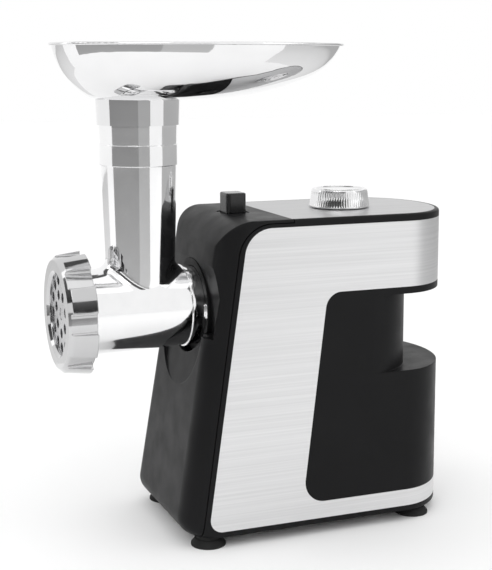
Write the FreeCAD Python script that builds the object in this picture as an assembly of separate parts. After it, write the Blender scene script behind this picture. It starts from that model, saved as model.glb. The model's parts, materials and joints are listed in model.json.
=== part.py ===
import FreeCAD, Part
import math
import os

from FreeCAD import Vector

# Electric meat grinder: black two-part housing with a steel wrap, motor, gearbox and a removable head.
# Millimetres.  +Z is up, the grinding head points along -Y and the housing is symmetric about X = 0.
# The origin lies on the ground, under the middle of the bounding box.

# ---- driving dimensions -------------------------------------------------------------------------

overall_length = 288.0            # screw ring front face to the rear of the base
half_length = overall_length / 2
axis_z = 161.0                    # drive axis above the ground
reach = 400.0                     # long enough to cut through everything

# housing
body_top_z = 226.0
body_base_z = 8.0
top_half_width = 56.25
base_half_width = 61.5
front_at_axis_y = -50.0           # front face where it crosses the drive axis height
front_slope = 0.16                # how far the front face leans back per mm of height
front_corner_r = 17.0
front_bottom_r = 13.0
foot_round_end = 75.0             # degrees that the quarter round turns before it meets the underside
foot_round_steps = 6
front_overlap = 0.15              # the roll starts this far outside the front face, so that they cross
top_roll_r = 24.0
rear_bulge = 46.0                 # depth of the half ellipse that ends the housing in plan
wall = 2.5
base_ledge = 0.4                  # lip of the wall above the base plate's edge
base_clearance = 0.2
edge_round = 2.0                  # rounding of the housing's top edge
gap_low_z = 113.0                 # hand hold: top of the base
gap_high_z = 169.0                # hand hold: underside of the upper arm
neck_setback = 28.0               # how far the neck lies in front of the rear face
lap_length = 5.0                  # lip of the main shell behind the front shell
lap_wall = 1.5
lap_free_half = 30.0              # no lip across the middle, where the button and its yoke are
seam_gap = 0.6                    # visible groove between front shell and main shell
seam_offset = 4.2                 # the seam runs this far in front of the steel
seam_top_z = 224.0
seam_corner_r = 24.0

# steel wrap and top plate
steel = 0.8
panel_front_at_axis_y = -33.1
panel_front_slope = 0.149
panel_top_z = 220.9
panel_corner_r = 20.0
panel_low_corner_r = 9.0
panel_base_z = 11.8
low_band_top_z = 24.0
upper_band_base_z = 174.0
inset_front_at_axis_y = 32.8
inset_front_slope = 0.128
inset_top_r = 12.0
inset_low_r = 15.0
top_plate_front_y = 9.0
top_plate_margin = 3.2
top_plate_thickness = 1.0

# socket that receives the head
recess_half_x = 52.0
recess_axis_y = -42.5             # its floor at the height of the axis
recess_low_z = 146.0
recess_top_z = 194.0              # where the floor runs out into the front
scoop_r = 40.0
scoop_low_z = 105.0
socket_bore_clearance = 0.3
socket_wall = 5.0
socket_front_y = -45.0
socket_rear_y = -28.0
socket_flange_r = 41.5
socket_flange = 2.5

# head casting
barrel_front_r = 30.0
barrel_rear_r = 28.2
barrel_tail_r = 27.8
barrel_bore_r = 25.5
collar_r = 34.1
collar_front_y = -139.0
collar_rear_y = -126.5
barrel_rim_y = -53.0
barrel_rim = 1.0
barrel_end_y = -31.0
rear_wall_front_y = -62.0
rear_wall = 6.0
tail_cavity_r = 22.5
lug_reach = 3.2
lug_width = 10.0
lug_length = 6.0
lug_rear_y = -39.0
lock_slot_width = 6.6
lock_slot_depth = 1.6
throat_y = -83.2
throat_bore_r = 21.0
throat_bore_low_z = 190.0         # the throat is relieved below this
throat_relief = 0.8
tube_top_z = 305.6
tube_top_r = 26.8
tube_low_r = 24.0
tube_low_z = 185.0
tube_seat_z = 288.0
band_low_z = 262.0
band_high_z = 276.0
band_proud = 0.6
tube_fillet = 7.5

# grinding set
plate_r = 31.0
plate_thickness = 4.4
plate_front_y = -140.4
plate_seat_clearance = 0.25
plate_hole_r = 3.5
plate_inner_ring_r = 13.6
plate_inner_holes = 7
plate_outer_ring_r = 23.6
plate_outer_holes = 13
plate_pin_hole_r = 4.2
plate_notch = 3.2
blade_thickness = 4.0
blade_r = 24.0
blade_arm = 9.0
stud_half = 4.0
pin_r = 3.95
auger_r = 24.7
auger_core_front_r = 9.5
auger_core_rear_r = 13.0
auger_pitch = 25.0
flight_root = 5.0
flight_tip = 2.6
auger_shaft_r = 7.5
auger_tail_r = 4.5                # core of the moulded driver
bush_r = 9.5
face_gap = 0.1                    # between faces that bear on each other
turn_gap = 0.3                    # between pieces that turn or slide past each other
coupling_front_y = -55.5
coupling_rear_y = -38.0
coupling_half = 7.6               # half the distance across the hexagon's flats

# screw ring
ring_front_y = -half_length
ring_depth = 19.5
ring_opening_r = 28.0
ring_front_r = 40.5
ring_rear_r = 42.6
ring_lip = 3.5
ring_lobes = 8
ring_recess_depth = 3.0
ring_lobe_half_angle = 12.5

# tray
tray_front_y = -143.0
tray_rear_y = 67.0
tray_half_width = 70.0
tray_rim_z = 344.0
tray_floor_z = 305.7
tray_sheet = 0.8
tray_bead = 1.6                   # how far the rolled rim stands out from the bowl
tray_bead_r = 1.0
tray_neck_r = 28.3
tray_neck_top_r = 28.9
tray_neck_base_z = 289.2
tray_hole_r = 21.4

# knob, button and latch
knob_y = 70.0
knob_base_r = 22.3
knob_top_r = 20.3
knob_height = 13.2
knob_gap = 0.5
knob_grooves = 72
knob_groove = 0.45
knob_spindle_r = 3.0
button_y = -14.0
button_half_x = 8.5
button_half_y = 7.5
button_top_z = 240.0
button_corner_r = 3.0
button_travel = 5.0
button_flange = 1.6
bezel_width = 2.4
yoke_y = -35.8
yoke_thickness = 3.0
yoke_width = 6.0
latch_pin_half = 3.0
latch_arm_z = 213.0
spring_r = 4.2
spring_wire_r = 0.5
spring_turns = 5

# gear train and motor
motor_z = 62.0
gearbox_r = 43.6
gearbox_front_y = -28.0
gearbox_rear_y = 1.0
gearbox_wall = 2.4
first_gear_angle = 66.0           # direction from the motor axis to the first gear's axle
axle_r = 3.0
axle_play = 0.05
stack_front_y = 30.0
stack_rear_y = 75.0
stator_half_x = 38.0
stator_half_z = 34.0
stator_bore_r = 21.0
air_gap = 0.6
rotor_shaft_r = 4.0
commutator_y = 84.0
commutator_r = 12.0
foot_y = (-51.5, 111.0)
foot_x = (49.0, 45.5)
foot_r = 12.2
foot_stem_r = 8.7
foot_cup_z = 5.0
cord_x = -26.0
cord_z = 34.0
cord_body_r = 5.0
cord_lip_r = 7.0
cord_bore_r = 3.6

barrel_front_y = collar_rear_y
socket_bore_r = barrel_tail_r + socket_bore_clearance
socket_outer_r = socket_bore_r + socket_wall
plate_rear_y = plate_front_y + plate_thickness
blade_front_y = plate_rear_y + face_gap
auger_front_y = blade_front_y + blade_thickness + face_gap
auger_rear_y = rear_wall_front_y - 1.6
neck_rear_y = half_length - neck_setback
motor_axis = Vector(0, 0, motor_z)
output_axis = Vector(0, 0, axis_z)


class GearStage:
    """One reduction: a small pinion that drives a large gear."""

    def __init__(self, module, pinion_teeth, gear_teeth, front_y, width):
        self.module = module
        self.pinion_teeth = pinion_teeth
        self.gear_teeth = gear_teeth
        self.front_y = front_y
        self.width = width
        self.centre_distance = module * (pinion_teeth + gear_teeth) / 2


stage_one = GearStage(1.0, 9, 54, -7.5, 6.0)
stage_two = GearStage(1.25, 12, 45, -15.5, 7.0)
stage_three = GearStage(1.5, 12, 48, -25.0, 8.5)


# ---- small helpers ------------------------------------------------------------------------------

def box(x0, x1, y0, y1, z0, z1):
    return Part.makeBox(x1 - x0, y1 - y0, z1 - z0, Vector(x0, y0, z0))


def cylinder_y(radius, y0, y1, x=0.0, z=axis_z):
    return Part.makeCylinder(radius, y1 - y0, Vector(x, y0, z), Vector(0, 1, 0))


def cone_y(r0, r1, y0, y1, x=0.0, z=axis_z):
    return Part.makeCone(r0, r1, y1 - y0, Vector(x, y0, z), Vector(0, 1, 0))


def cylinder_z(radius, z0, z1, x=0.0, y=0.0):
    return Part.makeCylinder(radius, z1 - z0, Vector(x, y, z0))


def cone_z(r0, r1, z0, z1, x=0.0, y=0.0):
    return Part.makeCone(r0, r1, z1 - z0, Vector(x, y, z0))


def tube_y(outer, inner, y0, y1, x=0.0, z=axis_z):
    return cylinder_y(outer, y0, y1, x, z).cut(cylinder_y(inner, y0, y1, x, z))


def fused(shapes):
    """Union of the shapes, with faces that lie in one surface merged."""
    shapes = list(shapes)
    return shapes[0].multiFuse(shapes[1:]).removeSplitter()


def mirrored(shape):
    """The shape's mirror image about X = 0."""
    return shape.mirror(Vector(0, 0, 0), Vector(1, 0, 0))


def turned(shape, degrees, x=0.0, z=axis_z):
    """A copy turned about an axis along +Y through (x, z)."""
    copy = shape.copy()
    copy.rotate(Vector(x, 0, z), Vector(0, 1, 0), degrees)
    return copy


def in_plan(z):
    return lambda a, b: Vector(a, b, z)


def in_side(x):
    return lambda a, b: Vector(x, a, b)


def in_front(y):
    return lambda a, b: Vector(a, y, b)


def rounded_wire(corners, radii, place):
    """Closed outline through 2-D corners, each rounded by its radius; place turns (a, b) into a point."""
    points = [Vector(a, b, 0) for a, b in corners]
    count = len(points)
    bends = []
    for index, here in enumerate(points):
        back = (points[index - 1] - here).normalize()
        ahead = (points[(index + 1) % count] - here).normalize()
        half_angle = back.getAngle(ahead) / 2
        run = radii[index] / math.tan(half_angle)
        toward = (back + ahead).normalize()
        middle = here + toward * (radii[index] / math.sin(half_angle) - radii[index])
        bends.append((here + back * run, middle, here + ahead * run))
    edges = []
    for index, (start, middle, end) in enumerate(bends):
        if radii[index] > 0:
            arc = Part.Arc(place(start.x, start.y), place(middle.x, middle.y), place(end.x, end.y))
            edges.append(arc.toShape())
        following = bends[(index + 1) % count][0]
        if end.distanceToPoint(following) > 1e-6:
            edges.append(Part.LineSegment(place(end.x, end.y), place(following.x, following.y)).toShape())
    return Part.Wire(Part.__sortEdges__(edges))


def extruded(wire, direction):
    return Part.Face(wire).extrude(direction)


def hexagon_y(half_flats, y0, y1):
    """Hexagonal bar along the drive axis."""
    corner = half_flats / math.cos(math.radians(30))
    angles = [math.radians(60 * step) for step in range(6)]
    points = [(corner * math.cos(a), axis_z + corner * math.sin(a)) for a in angles]
    return extruded(rounded_wire(points, [0.6] * 6, in_front(y0)), Vector(0, y1 - y0, 0))


# ---- housing envelope ---------------------------------------------------------------------------

def half_width(z):
    share = (body_top_z - z) / (body_top_z - body_base_z)
    return top_half_width + (base_half_width - top_half_width) * share


def front_y(z):
    return front_at_axis_y + front_slope * (z - axis_z)


def panel_front_y(z):
    return panel_front_at_axis_y + panel_front_slope * (z - axis_z)


def inset_front_y(z):
    return inset_front_at_axis_y + inset_front_slope * (z - axis_z)


def plan_wire(z, inset, rear_y, front=None):
    """Housing outline at one height: rounded front corners, straight sides, half ellipse behind."""
    width = half_width(z) - inset
    ellipse_y = rear_y - rear_bulge
    corner_r = front_corner_r - inset
    if front is None:
        front = front_y(z) + inset
    slope = corner_r * (1 - math.sqrt(0.5))
    right = Part.Arc(Vector(width - corner_r, front, z), Vector(width - slope, front + slope, z),
                     Vector(width, front + corner_r, z))
    left = Part.Arc(Vector(-width, front + corner_r, z), Vector(-width + slope, front + slope, z),
                    Vector(-width + corner_r, front, z))
    ellipse = Part.Ellipse(Vector(width, ellipse_y, z), Vector(0, ellipse_y + rear_bulge - inset, z),
                           Vector(0, ellipse_y, z))
    edges = [
        Part.LineSegment(Vector(corner_r - width, front, z), Vector(width - corner_r, front, z)).toShape(),
        right.toShape(),
        Part.LineSegment(Vector(width, front + corner_r, z), Vector(width, ellipse_y, z)).toShape(),
        Part.ArcOfEllipse(ellipse, 0, math.pi).toShape(),
        Part.LineSegment(Vector(-width, ellipse_y, z), Vector(-width, front + corner_r, z)).toShape(),
        left.toShape(),
    ]
    return Part.Wire(edges)


def plan_loft(z0, z1, inset, rear_y):
    return Part.makeLoft([plan_wire(z0, inset, rear_y), plan_wire(z1, inset, rear_y)], True, True)


def foot_loft(inset):
    """Lowest part of the housing, its front swept back in a quarter round, and the height where it ends."""
    radius = front_bottom_r - inset
    start = -math.atan(front_slope)
    end = math.radians(foot_round_end)
    centre_z = body_base_z + inset + radius * math.sin(end)
    high = centre_z - radius * math.sin(start)
    centre_y = front_y(high) + inset + radius * math.cos(start)
    sections = []
    for step in range(foot_round_steps + 1):
        angle = end + (start - end) * step / foot_round_steps
        z = centre_z - radius * math.sin(angle)
        sections.append(plan_wire(z, inset, half_length, centre_y - radius * math.cos(angle)))
    return Part.makeLoft(sections, True, False), high


def side_slab(inset):
    """What the side view leaves of the housing: leaning front and a large roll on top."""
    lean = inset * math.sqrt(1 + front_slope ** 2) - front_overlap
    low = body_base_z + inset
    high = body_top_z - inset
    corners = [(front_y(low) + lean, low), (reach, low), (reach, high), (front_y(high) + lean, high)]
    radii = [0, 0, 0, top_roll_r - inset]
    return extruded(rounded_wire(corners, radii, in_side(-reach)), Vector(2 * reach, 0, 0))


def envelope(inset):
    """The housing's outer form moved inwards by inset, with the hand hold behind the neck left open."""
    low = gap_low_z - inset
    high = gap_high_z + inset
    foot, foot_high = foot_loft(inset)
    base = plan_loft(foot_high, low, inset, half_length)
    neck = plan_loft(low, high, inset, neck_rear_y)
    arm = plan_loft(high, body_top_z, inset, half_length)
    return fused([foot, base, neck, arm]).common(side_slab(inset))


def outer_form():
    """Envelope with the edge between its top and its sides rounded."""
    form = envelope(0.0)
    edges = []
    for edge in form.Edges:
        heights = [vertex.Z for vertex in edge.Vertexes]
        at_top = min(heights) > body_top_z - 1e-4
        across = edge.BoundBox.YLength < 1e-3
        if at_top and not across:
            edges.append(edge)
    return form.makeFillet(edge_round, edges)


def front_region(shift):
    """Everything in front of the seam, the seam moved back and down by shift."""
    low = -20.0
    high = 300.0
    seam_y = panel_front_y(0) - seam_offset + shift
    seam_z = seam_top_z - shift
    corners = [
        (-reach, low),
        (seam_y + panel_front_slope * low, low),
        (seam_y + panel_front_slope * seam_z, seam_z),
        (top_plate_front_y + shift, seam_z),
        (top_plate_front_y + shift, high),
        (-reach, high),
    ]
    radii = [0, 0, seam_corner_r, 0, 0, 0]
    return extruded(rounded_wire(corners, radii, in_side(-reach)), Vector(2 * reach, 0, 0))


def recess_floor_y(z):
    """Floor of the recess round the socket, leaning so that it meets the front at the recess's top."""
    slope = (front_y(recess_top_z) - recess_axis_y) / (recess_top_z - axis_z)
    return recess_axis_y + slope * (z - axis_z)


def head_recess(grow):
    """Recess round the socket, and the scoop below it, grown by a wall thickness."""
    half = recess_half_x + 2 * grow
    low = recess_low_z - grow
    side = [(-reach, low), (recess_floor_y(low) + grow, low),
            (recess_floor_y(body_top_z) + grow, body_top_z), (-reach, body_top_z)]
    wide = extruded(rounded_wire(side, [0] * 4, in_side(-half)), Vector(2 * half, 0, 0))
    floor = recess_axis_y + grow
    scoop = cylinder_y(scoop_r + grow, -reach, floor, 0.0, scoop_low_z + scoop_r)
    low_y = front_y(scoop_low_z)
    scoop_low = scoop_low_z - grow
    side = [(-reach, axis_z), (floor, axis_z), (low_y + grow, scoop_low), (-reach, scoop_low)]
    wedge = extruded(rounded_wire(side, [0] * 4, in_side(-reach)), Vector(2 * reach, 0, 0))
    return wide.fuse(scoop.common(wedge))


def base_opening(clearance):
    """Opening in the underside that the base plate closes."""
    front = front_y(body_base_z) + front_bottom_r + clearance
    outline = plan_wire(body_base_z, wall + base_ledge + clearance, half_length, front)
    outline.translate(Vector(0, 0, -1))
    return extruded(outline, Vector(0, 0, wall + 2))


# ---- housing pieces -----------------------------------------------------------------------------

def panel_region():
    """Side view of the steel wrap: a leaning column with an upper and a lower band that run rearwards."""
    corners = [
        (panel_front_y(panel_base_z), panel_base_z),
        (reach, panel_base_z),
        (reach, low_band_top_z),
        (inset_front_y(low_band_top_z), low_band_top_z),
        (inset_front_y(upper_band_base_z), upper_band_base_z),
        (reach, upper_band_base_z),
        (reach, panel_top_z),
        (panel_front_y(panel_top_z), panel_top_z),
    ]
    radii = [panel_low_corner_r, 0, 0, inset_low_r, inset_top_r, 0, 0, panel_corner_r]
    return extruded(rounded_wire(corners, radii, in_side(-reach)), Vector(2 * reach, 0, 0))


def steel_wrap():
    return envelope(0.0).cut(envelope(steel)).common(panel_region())


def top_plate_outline(clearance, z):
    width = half_width(body_top_z) - top_plate_margin - clearance
    depth = rear_bulge - top_plate_margin - clearance
    ellipse_y = half_length - rear_bulge
    front = top_plate_front_y + clearance
    ellipse = Part.Ellipse(Vector(width, ellipse_y, z), Vector(0, ellipse_y + depth, z),
                           Vector(0, ellipse_y, z))
    edges = [
        Part.LineSegment(Vector(-width, front, z), Vector(width, front, z)).toShape(),
        Part.LineSegment(Vector(width, front, z), Vector(width, ellipse_y, z)).toShape(),
        Part.ArcOfEllipse(ellipse, 0, math.pi).toShape(),
        Part.LineSegment(Vector(-width, ellipse_y, z), Vector(-width, front, z)).toShape(),
    ]
    return Part.Wire(edges)


def top_plate():
    low = body_top_z - top_plate_thickness
    plate = extruded(top_plate_outline(0.15, low), Vector(0, 0, top_plate_thickness))
    return plate.cut(cylinder_z(knob_spindle_r + 1.2, low - 1, body_top_z + 1, 0, knob_y))


def button_prism(grow, z0, z1):
    half_x = button_half_x + grow
    half_y = button_half_y + grow
    corners = [
        (-half_x, button_y - half_y),
        (half_x, button_y - half_y),
        (half_x, button_y + half_y),
        (-half_x, button_y + half_y),
    ]
    radii = [button_corner_r + grow] * 4
    return extruded(rounded_wire(corners, radii, in_plan(z0)), Vector(0, 0, z1 - z0))


def housing_posts():
    """Screw posts along the housing's side walls, from the base plate upwards."""
    low = body_base_z + wall
    high = gap_low_z - 30
    posts = []
    for y in (-20.0, 80.0):
        x = half_width(high) - wall - 3.0
        web = box(x, half_width(high) - wall / 2, y - 2, y + 2, low, high)
        post = cylinder_z(5.0, low, high, x, y).fuse(web)
        posts += [post, mirrored(post)]
    return posts


def front_shell(form):
    cavity = envelope(wall).cut(head_recess(wall))
    shell = form.common(front_region(0.0)).cut(head_recess(0.0)).cut(cavity).cut(base_opening(0.0))
    shell = shell.cut(cylinder_y(socket_outer_r + turn_gap, -reach, 0))
    well = button_prism(bezel_width + 0.2, body_top_z - wall - 1, body_top_z + 1)
    return shell.cut(well)


def main_shell(form, wrap):
    rear = form.cut(front_region(seam_gap)).cut(envelope(wall)).cut(base_opening(0.0))
    lap = envelope(wall).cut(envelope(wall + lap_wall))
    lap = lap.common(front_region(lap_length)).cut(front_region(-lap_length))
    lap = lap.cut(box(-reach, reach, -reach, reach, -reach, body_base_z + wall + lap_length))
    lap = lap.cut(box(-lap_free_half, lap_free_half, -reach, reach, -reach, reach)).cut(head_recess(wall))
    seat = extruded(top_plate_outline(0.0, body_top_z - top_plate_thickness), Vector(0, 0, 5))
    spindle_hole = cylinder_z(knob_spindle_r + 1.2, body_top_z - 10, body_top_z + 1, 0, knob_y)
    cord_hole = cylinder_y(cord_body_r + 0.1, half_length - 30, reach, cord_x, cord_z)
    shell = fused([rear, lap] + housing_posts())
    pilots = [cylinder_z(1.55, body_base_z, body_base_z + wall + 12, x, y) for x, y in base_screw_places()]
    openings = Part.makeCompound([seat, spindle_hole, cord_hole] + pilots)
    return shell.cut(wrap).cut(openings)


def button_bezel():
    """Frame around the release button, sunk a little below the top."""
    low = body_top_z - wall - 1
    high = body_top_z - 0.6
    frame = button_prism(bezel_width, low, high)
    return frame.cut(button_prism(turn_gap, low - 1, high + 1))


def base_plate():
    layer = box(-reach, reach, -reach, reach, body_base_z, body_base_z + wall)
    plate = base_opening(base_clearance).common(layer)
    low = body_base_z - 1
    high = body_base_z + wall + 1
    for y in (stack_front_y + 4, stack_rear_y - 10):
        saddle = box(-20, 20, y, y + 6, body_base_z + wall, motor_z - stator_half_z)
        plate = plate.fuse(saddle)
    for x in (-18.0, 18.0):
        height = motor_z - math.sqrt(gearbox_r ** 2 - (abs(x) - 2) ** 2)
        rib = box(x - 2, x + 2, gearbox_front_y + 6, gearbox_rear_y - 6, body_base_z + wall, height)
        plate = plate.fuse(rib)
    for row in range(6):
        y = 88.0 + 6 * row
        slot = box(-17, 17, y, y + 2.6, low, high)
        plate = plate.cut(slot)
    for x, y in foot_places():
        plate = plate.cut(cylinder_z(4.2, low, high, x, y))
    for x, y in base_screw_places():
        plate = plate.cut(cylinder_z(2.1, low, high, x, y))
        plate = plate.cut(cylinder_z(4.2, low, body_base_z + 1.2, x, y))
    return plate.removeSplitter()


def base_screw_places():
    x = half_width(gap_low_z - 30) - wall - 3.0
    return [(side * x, y) for side in (-1, 1) for y in (-20.0, 80.0)]


def base_screws():
    screws = []
    for x, y in base_screw_places():
        head = cylinder_z(3.8, body_base_z, body_base_z + 1.1, x, y)
        shank = cylinder_z(1.5, body_base_z + 1.1, body_base_z + wall + 10, x, y)
        slot = fused([box(x - 2.2, x + 2.2, y - 0.4, y + 0.4, body_base_z - 1, body_base_z + 0.6),
                      box(x - 0.4, x + 0.4, y - 2.2, y + 2.2, body_base_z - 1, body_base_z + 0.6)])
        screws.append(head.fuse(shank).cut(slot))
    return screws


def foot_places():
    return [(side * x, y) for x, y in zip(foot_x, foot_y) for side in (-1, 1)]


def feet():
    """Rubber suction feet that snap into the base plate."""
    profile = [(0, 3.2), (foot_r - 2.2, 0), (foot_r, 0), (foot_r, 1.4), (foot_stem_r + 0.6, foot_cup_z),
               (foot_stem_r, foot_cup_z), (foot_stem_r, body_base_z), (4.0, body_base_z),
               (4.0, body_base_z + wall), (5.6, body_base_z + wall), (4.0, body_base_z + wall + 2.5),
               (0, body_base_z + wall + 2.5)]
    solids = []
    for x, y in foot_places():
        points = [Vector(x + a, y, b) for a, b in profile]
        outline = Part.makePolygon(points + [points[0]])
        solids.append(Part.Face(outline).revolve(Vector(x, y, 0), Vector(0, 0, 1), 360))
    return solids


def rear_surface_y(x, z):
    """Rear face of the base at a point."""
    return half_length - rear_bulge + rear_bulge * math.sqrt(1 - (x / half_width(z)) ** 2)


def cord_inlet():
    """Rubber grommet in the cord's hole at the rear of the base."""
    seat = rear_surface_y(abs(cord_x) - cord_lip_r, cord_z)
    body = cylinder_y(cord_body_r, seat - 14, seat, cord_x, cord_z)
    lip = cylinder_y(cord_lip_r, seat, seat + 1.5, cord_x, cord_z)
    return body.fuse(lip).cut(cylinder_y(cord_bore_r, seat - 15, seat + 2, cord_x, cord_z))


# ---- socket and latch ---------------------------------------------------------------------------

def socket_collar():
    tube = tube_y(socket_outer_r, socket_bore_r, socket_front_y, socket_rear_y)
    flange = tube_y(socket_flange_r, socket_bore_r, socket_rear_y - socket_flange, socket_rear_y)
    collar = tube.fuse(flange)
    half = lug_width / 2 + turn_gap
    deep = barrel_tail_r + lug_reach + turn_gap
    slots = box(-deep, deep, socket_front_y - 1, lug_rear_y + turn_gap, axis_z - half, axis_z + half)
    pin_slot = box(-latch_pin_half - turn_gap, latch_pin_half + turn_gap, yoke_y - turn_gap,
                   yoke_y + yoke_thickness + turn_gap, axis_z - socket_flange_r, axis_z)
    collar = collar.cut(slots.common(tube_y(deep, socket_bore_r - 1, socket_front_y - 1, 0)))
    collar = collar.cut(pin_slot)
    for x, z in collar_screw_places():
        collar = collar.cut(cylinder_y(1.7, socket_rear_y - 5, socket_rear_y + 1, x, z))
    return collar


def collar_screw_places():
    radius = (socket_outer_r + socket_flange_r) / 2
    angles = [math.radians(45 + 90 * step) for step in range(4)]
    return [(radius * math.cos(a), axis_z + radius * math.sin(a)) for a in angles]


def collar_screws():
    screws = []
    for x, z in collar_screw_places():
        face = socket_rear_y - socket_flange
        shank = cylinder_y(1.5, face, socket_rear_y + 2, x, z)
        screws.append(cylinder_y(2.8, face - 1.8, face, x, z).fuse(shank))
    return screws


def release_button():
    low = body_top_z - wall - 1 - button_flange
    cap = button_prism(0.0, low, button_top_z)
    top_edges = [edge for edge in cap.Edges if edge.BoundBox.ZMin > button_top_z - 0.01]
    cap = cap.makeFillet(1.2, top_edges)
    flange = button_prism(1.6, low - button_flange, low)
    stem = box(-6, 6, button_y - 6, button_y + 6, latch_arm_z + 2.0, low - button_flange)
    return fused([cap, flange, stem])


def latch_yoke():
    """Yoke round the socket: arm under the button, two legs, and a pin into the lock slot from below."""
    inner = socket_outer_r + turn_gap + button_travel
    outer = inner + yoke_width
    rear = yoke_y + yoke_thickness
    ring = tube_y(outer, inner, yoke_y, rear)
    crown = box(-8, 8, yoke_y, rear, axis_z + inner + 1, latch_arm_z + 2)
    arm = box(-8, 8, yoke_y, button_y + 6, latch_arm_z, latch_arm_z + 2)
    top = axis_z - barrel_tail_r + lock_slot_depth - turn_gap
    pin = box(-latch_pin_half, latch_pin_half, yoke_y, rear, axis_z - inner - 1, top)
    return fused([ring, crown, arm, pin])


def latch_spring():
    """Compression spring between the gearbox and the latch arm."""
    low = axis_z + gearbox_r
    height = latch_arm_z - low
    pitch = (height - 2 * spring_wire_r) / spring_turns
    helix = Part.makeHelix(pitch, height - 2 * spring_wire_r, spring_r - spring_wire_r)
    centre = Vector(spring_r - spring_wire_r, 0, 0)
    section = Part.Wire(Part.makeCircle(spring_wire_r, centre, Vector(0, 1, 0)))
    coil = Part.Wire(helix).makePipeShell([section], True, True)
    coil.translate(Vector(0, button_y, low + spring_wire_r))
    return coil


# ---- knob and switch ----------------------------------------------------------------------------

def knob():
    low = body_top_z + knob_gap
    high = low + knob_height
    shape = cone_z(knob_base_r, knob_top_r, low, high, 0, knob_y)
    rim = [edge for edge in shape.Edges if edge.BoundBox.ZMin > high - 0.01]
    shape = shape.makeFillet(1.5, rim)
    cutters = []
    for step in range(knob_grooves):
        angle = 360.0 * step / knob_grooves
        rod = cone_z(knob_groove, knob_groove * 0.9, low + 1.5, high - 2.0, 0, knob_y)
        rod.rotate(Vector(0, knob_y, low), Vector(0, 1, 0), -math.degrees(math.atan(2.0 / knob_height)))
        rod.translate(Vector(knob_base_r, 0, 0))
        rod.rotate(Vector(0, knob_y, 0), Vector(0, 0, 1), angle)
        cutters.append(rod)
    shape = shape.cut(Part.makeCompound(cutters))
    dish = cylinder_z(knob_top_r - 3.0, high - 0.5, high + 1, 0, knob_y)
    bore = cylinder_z(knob_spindle_r + 0.02, low - 1, high - 4, 0, knob_y)
    hollow = cylinder_z(knob_base_r - 3.0, low - 1, low + 5, 0, knob_y)
    hub = cylinder_z(knob_spindle_r + 3.0, low, low + 6, 0, knob_y)
    return shape.cut(dish).cut(hollow).fuse(hub).cut(bore)


def knob_spindle():
    low = body_top_z - wall - 12
    return cylinder_z(knob_spindle_r, low, body_top_z + knob_gap + knob_height - 4.5, 0, knob_y)


def rotary_switch():
    high = body_top_z - wall - 0.2
    case = box(-15, 15, knob_y - 15, knob_y + 15, high - 20, high)
    tabs = []
    for x in (-9.0, -3.0, 3.0, 9.0):
        tabs.append(box(x - 1, x + 1, knob_y - 10, knob_y - 4, high - 27, high - 20))
    case = fused([case] + tabs)
    return case.cut(cylinder_z(knob_spindle_r + turn_gap, high - 13, high + 1, 0, knob_y))


# ---- head ---------------------------------------------------------------------------------------

def tube_outer_r(z):
    share = (z - tube_low_z) / (tube_seat_z - tube_low_z)
    return tube_low_r + (tube_top_r - tube_low_r) * share


def tube_outside():
    lower = cone_z(tube_outer_r(axis_z), tube_top_r, axis_z, tube_seat_z, 0, throat_y)
    upper = cylinder_z(tube_top_r, tube_seat_z, tube_top_z, 0, throat_y)
    return fused([lower, upper])


def head_casting():
    barrel = cone_y(barrel_front_r, barrel_rear_r, barrel_front_y, barrel_rim_y)
    body = fused([barrel, tube_outside()])
    joint_edges = []
    for edge in body.Edges:
        bounds = edge.BoundBox
        on_barrel = bounds.ZMax < axis_z + barrel_front_r + 1 and bounds.ZMin > axis_z - 1
        if on_barrel and abs(bounds.Center.y - throat_y) < 3 and bounds.YLength > tube_low_r:
            joint_edges.append(edge)
    body = body.makeFillet(tube_fillet, joint_edges)
    collar = cylinder_y(collar_r, collar_front_y, collar_rear_y)
    tail = cylinder_y(barrel_tail_r, barrel_rim_y - 1, barrel_end_y)
    rim = cylinder_y(barrel_rear_r + barrel_rim, barrel_rim_y - 1.2, barrel_rim_y + 1.2)
    half = lug_width / 2
    reach_x = barrel_tail_r + lug_reach
    lugs = box(-reach_x, reach_x, lug_rear_y - lug_length, lug_rear_y, axis_z - half, axis_z + half)
    lugs = lugs.common(cylinder_y(reach_x, lug_rear_y - lug_length, lug_rear_y))
    band_r = tube_outer_r((band_low_z + band_high_z) / 2) + band_proud
    band = cylinder_z(band_r, band_low_z, band_high_z, 0, throat_y)
    body = fused([body, collar, tail, rim, lugs, band])
    body = body.cut(cylinder_y(barrel_bore_r, collar_front_y - 1, rear_wall_front_y))
    body = body.cut(cylinder_y(plate_r + plate_seat_clearance, collar_front_y - 1, plate_rear_y))
    body = body.cut(cylinder_z(throat_bore_r, axis_z, tube_top_z + 1, 0, throat_y))
    body = body.cut(cylinder_z(throat_bore_r + throat_relief, axis_z, throat_bore_low_z, 0, throat_y))
    body = body.cut(cylinder_y(tail_cavity_r, rear_wall_front_y + rear_wall, barrel_end_y + 1))
    bush_hole = cylinder_y(bush_r, rear_wall_front_y - 1, rear_wall_front_y + rear_wall + 1)
    body = body.cut(bush_hole)
    slot_top = axis_z - barrel_tail_r + lock_slot_depth
    slot = box(-lock_slot_width / 2, lock_slot_width / 2, yoke_y - turn_gap, barrel_end_y + 1,
               axis_z - barrel_tail_r - 1, slot_top)
    body = body.cut(slot)
    key_half = plate_notch / 2 - plate_seat_clearance
    key_low = axis_z + plate_r - plate_notch + plate_seat_clearance
    key = box(-key_half, key_half, collar_front_y + 0.5, plate_rear_y + 0.5, key_low, axis_z + plate_r + 1)
    return body.fuse(key).removeSplitter()


def auger_bush():
    """Plastic bearing bush in the casting's rear wall, with a thrust flange in front of it."""
    sleeve = cylinder_y(bush_r, rear_wall_front_y, rear_wall_front_y + rear_wall)
    flange = cylinder_y(auger_core_rear_r, rear_wall_front_y - 1.3, rear_wall_front_y)
    hole = cylinder_y(auger_shaft_r + 0.08, rear_wall_front_y - 2, rear_wall_front_y + rear_wall + 1)
    return sleeve.fuse(flange).cut(hole)


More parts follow.
